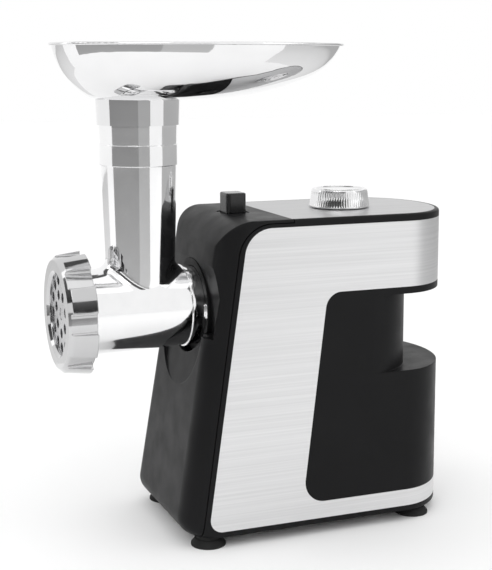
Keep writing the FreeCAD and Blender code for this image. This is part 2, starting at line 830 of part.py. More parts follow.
def auger():
    length = auger_rear_y - auger_front_y
    core = cone_y(auger_core_front_r, auger_core_rear_r, auger_front_y, auger_rear_y)
    shaft = cylinder_y(auger_shaft_r, auger_rear_y, coupling_front_y)
    tail = cylinder_y(auger_tail_r, coupling_front_y, coupling_rear_y - 5)
    stud = box(-stud_half, stud_half, blade_front_y + turn_gap, auger_front_y,
               axis_z - stud_half, axis_z + stud_half)
    pin = cylinder_y(pin_r, plate_front_y + 0.4, blade_front_y + turn_gap)
    margin = flight_root / 2
    run = length - 2 * margin
    helix = Part.makeHelix(auger_pitch, run, auger_r - 1)
    root = auger_core_front_r - 2
    section = Part.makePolygon([
        Vector(root, 0, -flight_root / 2),
        Vector(auger_r, 0, -flight_tip / 2),
        Vector(auger_r, 0, flight_tip / 2),
        Vector(root, 0, flight_root / 2),
        Vector(root, 0, -flight_root / 2),
    ])
    flight = Part.Wire(helix).makePipeShell([Part.Wire(section)], True, True)
    flight.rotate(Vector(0, 0, 0), Vector(1, 0, 0), -90)
    flight.translate(Vector(0, auger_front_y + margin, axis_z))
    return core.multiFuse([shaft, tail, stud, pin, flight]).removeSplitter()


def auger_coupling():
    """Hexagonal plastic driver on the auger's tail."""
    driver = hexagon_y(coupling_half, coupling_front_y, coupling_rear_y)
    return driver.cut(cylinder_y(auger_tail_r, coupling_front_y - 1, coupling_rear_y - 5)).cut(
        cylinder_y(2.0, coupling_rear_y - 6, coupling_rear_y + 1))


def coupling_screw():
    shank = cylinder_y(2.0, coupling_rear_y - 5, coupling_rear_y)
    return cylinder_y(4.0, coupling_rear_y, coupling_rear_y + 1.6).fuse(shank)


def blade():
    arms = []
    for quarter in range(4):
        arm = box(-blade_arm / 2, blade_arm / 2 - 2, blade_front_y, blade_front_y + blade_thickness,
                  axis_z, axis_z + blade_r)
        lean = Part.makePolygon([
            Vector(-blade_arm / 2, blade_front_y, axis_z),
            Vector(-blade_arm / 2 + 2.2, blade_front_y + blade_thickness, axis_z),
            Vector(-blade_arm / 2 - 2, blade_front_y + blade_thickness, axis_z),
            Vector(-blade_arm / 2, blade_front_y, axis_z),
        ])
        arm = arm.cut(Part.Face(lean).extrude(Vector(0, 0, blade_r + 1)))
        arms.append(turned(arm, 90 * quarter + 20))
    hub = cylinder_y(9.0, blade_front_y, blade_front_y + blade_thickness)
    half = stud_half + 0.15
    hole = box(-half, half, blade_front_y - 1, blade_front_y + blade_thickness + 1,
               axis_z - half, axis_z + half)
    return fused([hub] + arms).cut(hole)


def hole_plate():
    disc = cylinder_y(plate_r, plate_front_y, plate_rear_y)
    cutters = [cylinder_y(plate_pin_hole_r, plate_front_y - 1, plate_rear_y + 1)]
    rings = ((plate_inner_ring_r, plate_inner_holes), (plate_outer_ring_r, plate_outer_holes))
    for radius, count in rings:
        for step in range(count):
            angle = 2 * math.pi * step / count + math.pi / count
            x = radius * math.sin(angle)
            z = axis_z + radius * math.cos(angle)
            cutters.append(cylinder_y(plate_hole_r, plate_front_y - 1, plate_rear_y + 1, x, z))
    half = plate_notch / 2
    cutters.append(box(-half, half, plate_front_y - 1, plate_rear_y + 1,
                       axis_z + plate_r - plate_notch, axis_z + plate_r + 1))
    return disc.cut(Part.makeCompound(cutters))


def screw_ring():
    rear = ring_front_y + ring_depth
    bevel = 3.0
    blank = fused([cone_y(ring_front_r - bevel, ring_front_r, ring_front_y, ring_front_y + bevel),
                   cone_y(ring_front_r, ring_rear_r, ring_front_y + bevel, rear)])
    pitch = 360.0 / ring_lobes
    flank = math.radians(pitch / 2 - ring_lobe_half_angle)
    far = ring_rear_r + 10
    inner = ring_rear_r - ring_recess_depth
    points = [
        (-far * math.tan(flank) * 0.9, axis_z + far),
        (-inner * math.tan(flank), axis_z + inner - 1.2),
        (0.0, axis_z + inner + 0.2),
        (inner * math.tan(flank), axis_z + inner - 1.2),
        (far * math.tan(flank) * 0.9, axis_z + far),
    ]
    recess = extruded(rounded_wire(points, [0, 1.2, 30.0, 1.2, 0], in_front(ring_front_y - 1)),
                      Vector(0, ring_depth + 2, 0))
    cutters = [turned(recess, pitch * step) for step in range(ring_lobes)]
    ring = blank.cut(Part.makeCompound(cutters))
    ring = ring.cut(cylinder_y(ring_opening_r, ring_front_y - 1, rear + 1))
    ring = ring.cut(cone_y(ring_opening_r + 2.0, ring_opening_r, ring_front_y - 0.01, ring_front_y + 2.0))
    ring = ring.cut(cylinder_y(collar_r + turn_gap, ring_front_y + ring_lip, rear + 1))
    return ring


# ---- tray ---------------------------------------------------------------------------------------

def tray_section(share, front_share, rear_share, width_share, inset, lift):
    """Oval at a share of the tray's depth; the length shares run from the throat to the rim."""
    z = tray_floor_z + (tray_rim_z - tray_floor_z) * share + lift
    front = throat_y + (tray_front_y + tray_bead - throat_y) * front_share + inset
    rear = throat_y + (tray_rear_y - tray_bead - throat_y) * rear_share - inset
    width = (tray_half_width - tray_bead) * width_share - inset
    middle = (front + rear) / 2
    ellipse = Part.Ellipse(Vector(0, rear, z), Vector(-width, middle, z), Vector(0, middle, z))
    return Part.Wire(ellipse.toShape())


tray_shape = (
    (0.0, 0.42, 0.22, 0.40),
    (0.05, 0.56, 0.45, 0.56),
    (0.15, 0.66, 0.62, 0.69),
    (0.30, 0.77, 0.76, 0.80),
    (0.55, 0.895, 0.905, 0.915),
    (0.80, 0.967, 0.971, 0.975),
    (1.0, 1.0, 1.0, 1.0),
)


def tray_bowl(inset, lift):
    sections = [tray_section(*row, inset, lift) for row in tray_shape]
    return Part.makeLoft(sections, True, False)


def tray():
    outer = tray_bowl(0.0, 0.0)
    inner = tray_bowl(tray_sheet, tray_sheet)
    skin = outer.cut(inner).cut(box(-reach, reach, -reach, reach, tray_rim_z, tray_rim_z + 10))
    path = tray_section(1.0, 1.0, 1.0, 1.0, tray_bead_r - tray_bead, -tray_bead_r)
    start = path.Edges[0].valueAt(path.Edges[0].FirstParameter)
    bead = path.makePipeShell([Part.Wire(Part.makeCircle(tray_bead_r, start, Vector(1, 0, 0)))], True, True)
    neck_top = tray_floor_z + tray_sheet
    neck = cone_z(tray_neck_r, tray_neck_top_r, tray_neck_base_z, neck_top, 0, throat_y)
    neck = neck.cut(cylinder_z(tube_top_r + turn_gap, tray_neck_base_z - 1, tray_floor_z, 0, throat_y))
    shape = skin.fuse(bead).fuse(neck)
    return shape.cut(cylinder_z(tray_hole_r, tray_neck_base_z - 1, tray_rim_z, 0, throat_y))


# ---- gear train ---------------------------------------------------------------------------------

def involute_gear(module, teeth, y0, width, centre, phase):
    """Spur gear along Y with involute flanks; phase turns the first tooth away from +Z, in degrees."""
    backlash = 0.12 * module
    pitch_r = module * teeth / 2
    base_r = pitch_r * math.cos(math.radians(20))
    tip_r = pitch_r + 0.9 * module
    root_r = pitch_r - 1.2 * module
    half_tooth = (math.pi * module / 2 - backlash) / 2 / pitch_r
    roll_pitch = math.tan(math.radians(20)) - math.radians(20)
    steps = 4
    first_r = max(base_r, root_r + 0.02)

    def place(radius, angle):
        turn = angle + math.radians(phase)
        return Vector(centre.x + radius * math.sin(turn), y0, centre.z + radius * math.cos(turn))

    def flank_angle(radius):
        pressure = math.acos(min(1.0, base_r / radius))
        return half_tooth + roll_pitch - (math.tan(pressure) - pressure)

    edges = []
    for tooth in range(teeth):
        middle = 2 * math.pi * tooth / teeth
        following = middle + 2 * math.pi / teeth
        radii = [first_r + (tip_r - first_r) * step / steps for step in range(steps + 1)]
        rising = [place(r, middle - flank_angle(r)) for r in radii]
        falling = [place(r, middle + flank_angle(r)) for r in reversed(radii)]
        root_angle = flank_angle(first_r)
        foot_in = place(root_r, middle - root_angle)
        foot_out = place(root_r, middle + root_angle)
        foot_next = place(root_r, following - root_angle)
        floor = place(root_r, (middle + following) / 2)
        tip = place(tip_r, middle)
        for points in (rising, falling):
            curve = Part.BSplineCurve()
            curve.interpolate(points)
            edges.append(curve.toShape())
        edges.append(Part.Arc(rising[-1], tip, falling[0]).toShape())
        edges.append(Part.LineSegment(foot_in, rising[0]).toShape())
        edges.append(Part.LineSegment(falling[-1], foot_out).toShape())
        edges.append(Part.Arc(foot_out, floor, foot_next).toShape())
    wire = Part.Wire(Part.__sortEdges__(edges))
    return extruded(wire, Vector(0, width, 0))


def direction_angle(start, end):
    """Angle from +Z towards +X of the line between two axes, in degrees."""
    return math.degrees(math.atan2(end.x - start.x, end.z - start.z))


def mesh_phase(driver_teeth, driver_phase, gear_teeth, driver, gear):
    """Phase of a gear whose tooth space meets the driver's teeth on the line between the two axes."""
    toward_gear = direction_angle(driver, gear)
    driver_turn = (toward_gear - driver_phase) * driver_teeth / 360.0
    offset = driver_turn - math.floor(driver_turn)
    toward_driver = toward_gear + 180.0
    return toward_driver + (offset + 0.5) * 360.0 / gear_teeth


def gear_axes():
    """Axles of the two intermediate gears, found from the centre distances."""
    angle = math.radians(first_gear_angle)
    first = motor_axis + Vector(math.cos(angle), 0, math.sin(angle)) * stage_one.centre_distance
    across = output_axis - first
    span = across.Length
    along = (stage_two.centre_distance ** 2 - stage_three.centre_distance ** 2 + span ** 2) / (2 * span)
    height = math.sqrt(stage_two.centre_distance ** 2 - along ** 2)
    unit = across * (1 / span)
    side = Vector(-unit.z, 0, unit.x)
    second = first + unit * along + side * height
    return first, second


first_axis, second_axis = gear_axes()
phase_motor = 0.0
phase_first = mesh_phase(stage_one.pinion_teeth, phase_motor, stage_one.gear_teeth, motor_axis, first_axis)
phase_first_pinion = 0.0
phase_second = mesh_phase(stage_two.pinion_teeth, phase_first_pinion, stage_two.gear_teeth,
                          first_axis, second_axis)
phase_second_pinion = 0.0
phase_output = mesh_phase(stage_three.pinion_teeth, phase_second_pinion, stage_three.gear_teeth,
                          second_axis, output_axis)


def motor_pinion():
    gear = involute_gear(stage_one.module, stage_one.pinion_teeth, stage_one.front_y, stage_one.width,
                         motor_axis, phase_motor)
    return gear.cut(cylinder_y(2.0, stage_one.front_y - 1, gearbox_rear_y, 0, motor_z))


def compound_gear(large, large_phase, small, small_phase, axis):
    """Large gear and small pinion moulded in one, turning on an axle."""
    gear = involute_gear(large.module, large.gear_teeth, large.front_y, large.width, axis, large_phase)
    pinion = involute_gear(small.module, small.pinion_teeth, small.front_y, small.width + 0.01,
                           axis, small_phase)
    hub = cylinder_y(small.module * small.pinion_teeth / 2 - 1.4 * small.module, small.front_y,
                     large.front_y + large.width, axis.x, axis.z)
    spacer = cylinder_y(axle_r + 3.0, small.front_y, large.front_y, axis.x, axis.z)
    whole = gear.multiFuse([pinion, hub, spacer])
    bore = cylinder_y(axle_r + axle_play, small.front_y - 1, large.front_y + large.width + 1, axis.x, axis.z)
    return whole.cut(bore)


def axle(axis, front):
    return cylinder_y(axle_r, front, gearbox_rear_y - gearbox_wall, axis.x, axis.z)


def output_gear():
    gear = involute_gear(stage_three.module, stage_three.gear_teeth, stage_three.front_y, stage_three.width,
                         output_axis, phase_output)
    lighten = tube_y(26.0, 14.0, stage_three.front_y + 5.5, stage_three.front_y + stage_three.width + 1)
    return gear.cut(lighten).cut(cylinder_y(8.0, stage_three.front_y - 1, stage_three.front_y + 20))


def output_shaft():
    """Shaft of the last gear, with the hexagonal driving socket in its front end."""
    front = coupling_front_y + 2.5
    rear = gearbox_rear_y - gearbox_wall - turn_gap
    cup = cylinder_y(13.0, front, socket_rear_y - 3)
    neck = cylinder_y(10.0, socket_rear_y - 3, stage_three.front_y - 0.5)
    body = cylinder_y(8.0, stage_three.front_y - 0.5, rear - 6)
    end = cylinder_y(5.0, rear - 6, rear)
    socket = hexagon_y(coupling_half + turn_gap, front - 1, coupling_rear_y + 2.5)
    return fused([cup, neck, body, end]).cut(socket)


def gearbox_profile(grow, y0, y1):
    """Straight-sided oval around all the gears."""
    radius = gearbox_r + grow
    low = cylinder_y(radius, y0, y1, 0, motor_z)
    high = cylinder_y(radius, y0, y1, 0, axis_z)
    return fused([low, high, box(-radius, radius, y0, y1, motor_z, axis_z)])


def gearbox_case():
    rear = gearbox_rear_y - gearbox_wall
    case = gearbox_profile(0.0, gearbox_front_y, rear)
    case = case.cut(gearbox_profile(-gearbox_wall, gearbox_front_y + gearbox_wall, rear + 1))
    case = case.cut(cylinder_y(10.0 + 1.0, gearbox_front_y - 1, gearbox_front_y + gearbox_wall + 1))
    for axis in (first_axis, second_axis):
        post_rear_y = gearbox_front_y + gearbox_wall + 0.4
        post = cylinder_y(axle_r + 2.0, gearbox_front_y + 1, post_rear_y, axis.x, axis.z)
        case = case.fuse(post)
    for x, z in collar_screw_places():
        case = case.cut(cylinder_y(1.5, gearbox_front_y - 1, gearbox_front_y + 2, x, z))
    return case.removeSplitter()


def gearbox_cover():
    rear = gearbox_rear_y
    cover = gearbox_profile(0.0, rear - gearbox_wall, rear)
    cover = cover.cut(cylinder_y(11.2, rear - 10, rear + 1, 0, motor_z))
    for x, z in gearbox_screw_places():
        cover = cover.fuse(cylinder_y(4.0, rear - gearbox_wall, rear, x, z))
        cover = cover.cut(cylinder_y(1.7, rear - 10, rear + 1, x, z))
    return cover


def gearbox_screw_places():
    radius = gearbox_r + 1.0
    spots = []
    for z in (motor_z + 4, (motor_z + axis_z) / 2, axis_z - 4):
        spots += [(-radius, z), (radius, z)]
    return spots


def gearbox_ears(case):
    """Screw ears on the gearbox case, in line with those of the cover."""
    rear = gearbox_rear_y - gearbox_wall
    ears = [cylinder_y(4.0, rear - 12, rear, x, z) for x, z in gearbox_screw_places()]
    room = gearbox_profile(-gearbox_wall, gearbox_front_y + gearbox_wall, rear + 1)
    holes = [cylinder_y(1.4, rear - 10, rear + 1, x, z) for x, z in gearbox_screw_places()]
    return case.multiFuse(ears).cut(room).cut(Part.makeCompound(holes))


def gearbox_screws():
    screws = []
    for x, z in gearbox_screw_places():
        head = cylinder_y(3.0, gearbox_rear_y, gearbox_rear_y + 1.8, x, z)
        screws.append(head.fuse(cylinder_y(1.4, gearbox_rear_y - 8, gearbox_rear_y, x, z)))
    return screws


def output_bush():
    """Sintered bush that carries the output shaft in the gearbox front."""
    front = gearbox_front_y - 0.4
    return tube_y(11.0, 10.06, front, stage_three.front_y - 0.6)


# ---- motor --------------------------------------------------------------------------------------

def motor_stator():
    corners = [(-stator_half_x, -stator_half_z), (stator_half_x, -stator_half_z),
               (stator_half_x, stator_half_z), (-stator_half_x, stator_half_z)]
    corners = [(a, b + motor_z) for a, b in corners]
    stack = extruded(rounded_wire(corners, [12.0] * 4, in_front(stack_front_y)),
                     Vector(0, stack_rear_y - stack_front_y, 0))
    stack = stack.cut(cylinder_y(stator_bore_r, stack_front_y - 1, stack_rear_y + 1, 0, motor_z))
    return stack.cut(Part.makeCompound([coil_loop(side, 0.2) for side in (-1, 1)]))


def coil_loop(side, grow):
    """Rectangular field coil above or below the rotor."""
    near = 16.5
    far = 24.5
    end = 6.0
    z0, z1 = sorted((motor_z + side * (near - grow), motor_z + side * (far + grow)))
    outer = box(-far - grow, far + grow, stack_front_y - end, stack_rear_y + end, z0, z1)
    inner = box(-near + grow, near - grow, stack_front_y - 0.5, stack_rear_y + 0.5, z0 - 1, z1 + 1)
    return outer.cut(inner)


def rotor_core():
    core = cylinder_y(stator_bore_r - air_gap, stack_front_y, stack_rear_y, 0, motor_z)
    slots = []
    for step in range(12):
        angle = 2 * math.pi * step / 12
        radius = stator_bore_r - air_gap - 5
        x = radius * math.sin(angle)
        z = motor_z + radius * math.cos(angle)
        slots.append(cylinder_y(2.6, stack_front_y - 1, stack_rear_y + 1, x, z))
    return core.cut(Part.makeCompound(slots)).cut(
        cylinder_y(rotor_shaft_r, stack_front_y - 1, stack_rear_y + 1, 0, motor_z))


def rotor_winding():
    radius = stator_bore_r - air_gap - 5
    parts = []
    for y0, y1 in ((stack_front_y - 5.5, stack_front_y), (stack_rear_y, stack_rear_y + 5.5)):
        parts.append(tube_y(14.5, rotor_shaft_r + 1, y0, y1, 0, motor_z))
    for step in range(12):
        angle = 2 * math.pi * step / 12
        x = radius * math.sin(angle) * 0.93
        z = motor_z + radius * math.cos(angle) * 0.93
        parts.append(cylinder_y(1.4, stack_front_y - 0.1, stack_rear_y + 0.1, x, z))
    return parts[0].multiFuse(parts[1:])


def rotor_shaft():
    thin = cylinder_y(2.0, stage_one.front_y, 4.0, 0, motor_z)
    return thin.fuse(cylinder_y(rotor_shaft_r, 4.0, 108.0, 0, motor_z))


def commutator():
    body = tube_y(commutator_r, rotor_shaft_r, commutator_y, commutator_y + 13, 0, motor_z)
    slits = []
    for step in range(24):
        slit = box(-0.25, 0.25, commutator_y - 1, commutator_y + 11, motor_z + commutator_r - 1.2,
                   motor_z + commutator_r + 1)
        slits.append(turned(slit, 15 * step, 0, motor_z))
    return body.cut(Part.makeCompound(slits))


def fan():
    hub = tube_y(9.0, rotor_shaft_r, 15.0, 22.0, 0, motor_z)
    disc = tube_y(29.0, rotor_shaft_r + 1, 21.0, 22.4, 0, motor_z)
    blades = []
    for step in range(11):
        vane = box(-0.7, 0.7, 15.5, 21.5, motor_z + 8, motor_z + 28)
        vane.rotate(Vector(0, 0, motor_z + 8), Vector(0, 1, 0), 22)
        blades.append(turned(vane, 360.0 * step / 11, 0, motor_z))
    return fused([hub, disc] + blades)


def bearing(y0, y1):
    return tube_y(11.0, rotor_shaft_r, y0, y1, 0, motor_z)


def motor_bearings():
    return [bearing(4.5, 11.5), bearing(99.0, 106.0)]


def motor_bracket(y0, y1, arm_end, inner_end):
    """Cross arm that carries a bearing, with two legs to the stack."""
    bar = box(-stator_half_x, stator_half_x, y0, y1, motor_z - 9, motor_z + 9)
    hub = cylinder_y(14.5, y0, y1, 0, motor_z)
    low, high = sorted((arm_end, inner_end))
    places = (2 - stator_half_x, stator_half_x - 2)
    legs = [box(x - 2, x + 2, low, high, motor_z - 9, motor_z + 9) for x in places]
    return fused([bar, hub] + legs).cut(cylinder_y(11.0, y0 - 1, y1 + 1, 0, motor_z))


def brush_parts():
    """Carbon brush and brass holder on one side of the commutator."""
    y = commutator_y + 5.5
    start = commutator_r + 0.15
    brush = box(start, start + 12, y - 3, y + 3, motor_z - 2.5, motor_z + 2.5)
    outer = box(start + 2.5, start + 17, y - 4.2, y + 4.2, motor_z - 3.7, motor_z + 3.7)
    inner = box(start + 1, start + 16, y - 3.1, y + 3.1, motor_z - 2.6, motor_z + 2.6)
    return brush, outer.cut(inner)


# ---- export -------------------------------------------------------------------------------------

def export(name, shape):
    if isinstance(shape, (list, tuple)):
        shape = Part.makeCompound(shape)
    shape.exportStep("parts/" + name + ".step")
    facts = (name, len(shape.Solids), shape.Volume, shape.isValid())
    print("%-18s solids %d  volume %10.1f  valid %s" % facts)


def main():
    os.makedirs("parts", exist_ok=True)
    form = outer_form()
    wrap = steel_wrap()
    export("steel_wrap", wrap)
    export("front_shell", front_shell(form))
    export("main_shell", main_shell(form, wrap))
    export("top_plate", top_plate())
    export("button_bezel", button_bezel())
    export("base_plate", base_plate())
    export("base_screws", base_screws())
    export("feet", feet())
    export("cord_inlet", cord_inlet())
    export("socket_collar", socket_collar())
    export("collar_screws", collar_screws())
    export("release_button", release_button())
    export("latch_yoke", latch_yoke())
    export("latch_spring", latch_spring())
    export("knob", knob())
    export("knob_spindle", knob_spindle())
    export("rotary_switch", rotary_switch())
    export("head_casting", head_casting())
    export("auger_bush", auger_bush())
    export("auger", auger())
    export("auger_coupling", auger_coupling())
    export("coupling_screw", coupling_screw())
    export("blade", blade())
    export("hole_plate", hole_plate())
    export("screw_ring", screw_ring())
    export("tray", tray())
    export("gearbox_case", gearbox_ears(gearbox_case()))
    export("gearbox_cover", gearbox_cover())
    export("gearbox_screws", gearbox_screws())
    export("output_bush", output_bush())
    export("output_shaft", output_shaft())
    export("output_gear", output_gear())
    export("gear_one", compound_gear(stage_one, phase_first, stage_two, phase_first_pinion, first_axis))
    export("gear_two", compound_gear(stage_two, phase_second, stage_three, phase_second_pinion, second_axis))
    export("axle_one", axle(first_axis, gearbox_front_y + gearbox_wall + 0.4))
    export("axle_two", axle(second_axis, gearbox_front_y + gearbox_wall + 0.4))
    export("motor_pinion", motor_pinion())
    export("motor_stator", motor_stator())
    export("field_coils", [coil_loop(side, 0.0) for side in (-1, 1)])
    export("rotor_core", rotor_core())
    export("rotor_winding", rotor_winding())
    export("rotor_shaft", rotor_shaft())
    export("commutator", commutator())
    export("fan", fan())
    export("motor_bearings", motor_bearings())
    export("front_bracket", motor_bracket(4.5, 10.5, stack_front_y, 4.5))
    export("rear_bracket", motor_bracket(99.5, 105.5, stack_rear_y, 105.5))
    brush, holder = brush_parts()
    other = [piece.copy() for piece in (brush, holder)]
    for piece in other:
        piece.rotate(Vector(0, 0, motor_z), Vector(0, 1, 0), 180)
    export("carbon_brushes", [brush, other[0]])
    export("brush_holders", [holder, other[1]])


main()
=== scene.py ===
import json
import math

import bmesh
import bpy
from mathutils import Euler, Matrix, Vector


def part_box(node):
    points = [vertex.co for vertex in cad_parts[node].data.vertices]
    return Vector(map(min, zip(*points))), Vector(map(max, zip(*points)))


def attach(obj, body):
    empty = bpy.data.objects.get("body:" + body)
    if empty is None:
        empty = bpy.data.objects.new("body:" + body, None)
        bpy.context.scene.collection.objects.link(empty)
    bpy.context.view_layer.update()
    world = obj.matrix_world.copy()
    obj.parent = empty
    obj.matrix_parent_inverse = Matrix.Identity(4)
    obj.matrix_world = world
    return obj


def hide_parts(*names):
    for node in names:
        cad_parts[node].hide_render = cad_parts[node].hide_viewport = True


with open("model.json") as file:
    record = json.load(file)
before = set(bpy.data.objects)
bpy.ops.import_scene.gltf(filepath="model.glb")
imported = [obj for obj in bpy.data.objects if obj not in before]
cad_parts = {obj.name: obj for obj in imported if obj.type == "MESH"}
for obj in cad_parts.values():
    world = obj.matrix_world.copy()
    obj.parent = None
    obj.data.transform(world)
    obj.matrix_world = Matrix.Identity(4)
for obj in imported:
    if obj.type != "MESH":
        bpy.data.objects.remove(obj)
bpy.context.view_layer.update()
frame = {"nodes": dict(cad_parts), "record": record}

WHITE = (1.0, 1.0, 1.0, 1.0)

# camera, in metres in the part's frame
CAMERA_AZIMUTH = -16.5            # degrees from +X, seen from above
CAMERA_LOCATION = (0.81238, -0.32358, 0.33169)
CAMERA_FORWARD = (-0.9154, 0.3602, -0.1798)
CAMERA_LENS = 77.34
CAMERA_SENSOR = 36.0

# cards seen only in reflections: heights and radii in metres, angles in degrees from the camera
CARD_STEPS = 40
WALL_STEPS = 30
FLOOR_CARD_HEIGHT = 0.003
WALL_CARD_FOOT = 0.004
WALL_RADIUS = 1.90
RIGHT_WALL_RADIUS = 2.20
HEAD_LEFT = (-84.0, 2.0)
HEAD_FRONT = (2.0, 32.0)
HEAD_RIGHT = (74.0, 150.0)
HEAD_FAR = (-165.0, -112.0)
KNOB_CARD_RADIUS = 1.00
KNOB_CARD_HIGH = 0.38
KNOB_CARD_LIFT = 0.15             # above the knob's foot

# knob, in metres
KNOB_RIBS = 72
KNOB_STEPS_PER_RIB = 6
KNOB_GROOVE = 0.00020
KNOB_GROOVE_START = 0.0015        # above the foot
KNOB_GROOVE_STOP = 0.0020         # below the top
KNOB_GROOVE_RUNOUT = 0.0003
KNOB_TAPER = 0.0020
KNOB_DISH_EDGE = 0.0030
KNOB_DISH_DEPTH = 0.0005
KNOB_EDGE = 0.0006
KNOB_INSET = 0.00002              # inside the CAD knob


# ---- material helpers ----------------------------------------------------------------------------

class Recipe:
    """One procedural material: a Principled shader and short calls that add nodes to it."""

    def __init__(self, name, colour, roughness, metallic=0.0, **shader_values):
        self.material = bpy.data.materials.new(name)
        self.material.use_nodes = True
        self.tree = self.material.node_tree
        self.shader = self.tree.nodes["Principled BSDF"]
        self.shader.inputs["Base Color"].default_value = (*colour, 1.0)
        self.shader.inputs["Roughness"].default_value = roughness
        self.shader.inputs["Metallic"].default_value = metallic
        for socket, value in shader_values.items():
            self.shader.inputs[socket.replace("_", " ")].default_value = value
        self.heights = []

    def node(self, kind, **properties):
        made = self.tree.nodes.new(kind)
        for name, value in properties.items():
            setattr(made, name, value)
        return made

    def link(self, source, target):
        self.tree.links.new(source, target)

    def place(self, scale, shift=(0.0, 0.0, 0.0)):
        """Object coordinates in metres, stretched by scale."""
        coordinates = self.node("ShaderNodeTexCoord")
        mapping = self.node("ShaderNodeMapping")
        mapping.inputs["Scale"].default_value = scale
        mapping.inputs["Location"].default_value = shift
        self.link(coordinates.outputs["Object"], mapping.inputs["Vector"])
        return mapping.outputs["Vector"]

    def noise(self, scale, detail=2.0):
        """Noise from 0 to 1; scale is one number or three, in features per metre."""
        stretch = scale if isinstance(scale, tuple) else (scale, scale, scale)
        texture = self.node("ShaderNodeTexNoise")
        texture.inputs["Scale"].default_value = 1.0
        texture.inputs["Detail"].default_value = detail
        self.link(self.place(stretch), texture.inputs["Vector"])
        return texture.outputs["Fac"]

    def rings(self, scale, axis, centre, distortion=0.4):
        """Concentric turning marks round an axis, as lines per metre of radius."""
        texture = self.node("ShaderNodeTexWave", wave_type="RINGS", rings_direction=axis)
        texture.inputs["Scale"].default_value = scale / 20.0
        texture.inputs["Distortion"].default_value = distortion
        texture.inputs["Detail"].default_value = 2.0
        placed = self.place((1.0, 1.0, 1.0), shift=tuple(-value for value in centre))
        self.link(placed, texture.inputs["Vector"])
        return texture.outputs["Fac"]

    def between(self, source, low, high):
        """Map 0.3..0.7 of a noise to low..high."""
        spread = self.node("ShaderNodeMapRange")
        spread.inputs["From Min"].default_value = 0.3
        spread.inputs["From Max"].default_value = 0.7
        spread.inputs["To Min"].default_value = low
        spread.inputs["To Max"].default_value = high
        self.link(source, spread.inputs["Value"])
        return spread.outputs["Result"]

    def roughen(self, source, low, high):
        self.link(self.between(source, low, high), self.shader.inputs["Roughness"])

    def tint(self, source, dark, light):
        """Colour between dark and light, led by a noise."""
        mix = self.node("ShaderNodeMix", data_type="RGBA")
        mix.inputs["A"].default_value = (*dark, 1.0)
        mix.inputs["B"].default_value = (*light, 1.0)
        self.link(self.between(source, 0.0, 1.0), mix.inputs["Factor"])
        self.link(mix.outputs["Result"], self.shader.inputs["Base Color"])

    def relief(self, source, distance, strength=1.0):
        """Add one layer of bump, with its depth in metres."""
        bump = self.node("ShaderNodeBump")
        bump.inputs["Strength"].default_value = strength
        bump.inputs["Distance"].default_value = distance
        self.link(source, bump.inputs["Height"])
        if self.heights:
            self.link(self.heights[-1], bump.inputs["Normal"])
        self.heights.append(bump.outputs["Normal"])
        self.link(bump.outputs["Normal"], self.shader.inputs["Normal"])

    def soften_edges(self, radius):
        """Round sharp edges in the shading."""
        bevel = self.node("ShaderNodeBevel", samples=6)
        bevel.inputs["Radius"].default_value = radius
        self.heights.append(bevel.outputs["Normal"])
        self.link(bevel.outputs["Normal"], self.shader.inputs["Normal"])


# ---- materials -----------------------------------------------------------------------------------

def shade(colour, share):
    return tuple(channel * share for channel in colour)


def moulded_plastic(name, colour, roughness, grain=0.00002, shine=0.12):
    """Injection moulding: fine spark-eroded grain and slightly uneven gloss."""
    made = Recipe(name, colour, roughness, **{"Specular_IOR_Level": shine})
    made.soften_edges(0.0012)
    made.relief(made.noise(2600.0, 3.0), grain)
    made.relief(made.noise(9.0, 2.0), 0.00025, 0.25)
    made.roughen(made.noise(60.0, 4.0), roughness - 0.05, roughness + 0.06)
    light = shade(colour, 1.25)
    made.tint(made.noise(22.0, 3.0), colour, light)
    return made.material


def brushed_sheet(name, colour, along):
    """Stainless sheet brushed along one direction; along gives the stretch of the lines."""
    made = Recipe(name, colour, 0.36, 1.0)
    fine = made.noise(along, 4.0)
    coarse = made.noise(tuple(value * 0.22 for value in along), 3.0)
    made.relief(fine, 0.000012, 0.55)
    made.relief(coarse, 0.00003, 0.25)
    made.roughen(made.noise(tuple(value * 0.5 for value in along), 5.0), 0.30, 0.46)
    dark = shade(colour, 0.90)
    made.tint(coarse, dark, colour)
    return made.material


def polished_casting(name, colour):
    """Polished die casting: mirror gloss over a faintly uneven surface."""
    made = Recipe(name, colour, 0.07, 1.0)
    made.soften_edges(0.0007)
    made.relief(made.noise(38.0, 2.0), 0.0004, 0.03)
    made.roughen(made.noise(140.0, 5.0), 0.045, 0.10)
    made.tint(made.noise(70.0, 3.0), shade(colour, 0.96), colour)
    return made.material


def polished_sheet(name, colour):
    """Deep-drawn stainless sheet polished to a mirror, with faint drawing waves."""
    made = Recipe(name, colour, 0.04, 1.0)
    made.relief(made.noise((26.0, 26.0, 60.0), 1.0), 0.0005, 0.08)
    made.roughen(made.noise(90.0, 5.0), 0.025, 0.06)
    made.tint(made.noise(45.0, 3.0), shade(colour, 0.97), colour)
    return made.material


def ground_steel(name, colour, centre):
    """Tool steel with concentric grinding marks round the drive axis."""
    made = Recipe(name, colour, 0.24, 1.0)
    made.soften_edges(0.0003)
    made.relief(made.rings(9000.0, "Y", centre), 0.00001, 0.5)
    made.roughen(made.noise(220.0, 4.0), 0.18, 0.32)
    made.tint(made.noise(90.0, 4.0), shade(colour, 0.88), colour)
    return made.material


def turned_metal(name, colour, roughness):
    """Small turned or plated metal part."""
    made = Recipe(name, colour, roughness, 1.0)
    made.relief(made.noise((900.0, 2600.0, 900.0), 2.0), 0.00001, 0.5)
    made.roughen(made.noise(300.0, 4.0), roughness - 0.07, roughness + 0.08)
    made.tint(made.noise(150.0, 3.0), shade(colour, 0.85), colour)
    return made.material


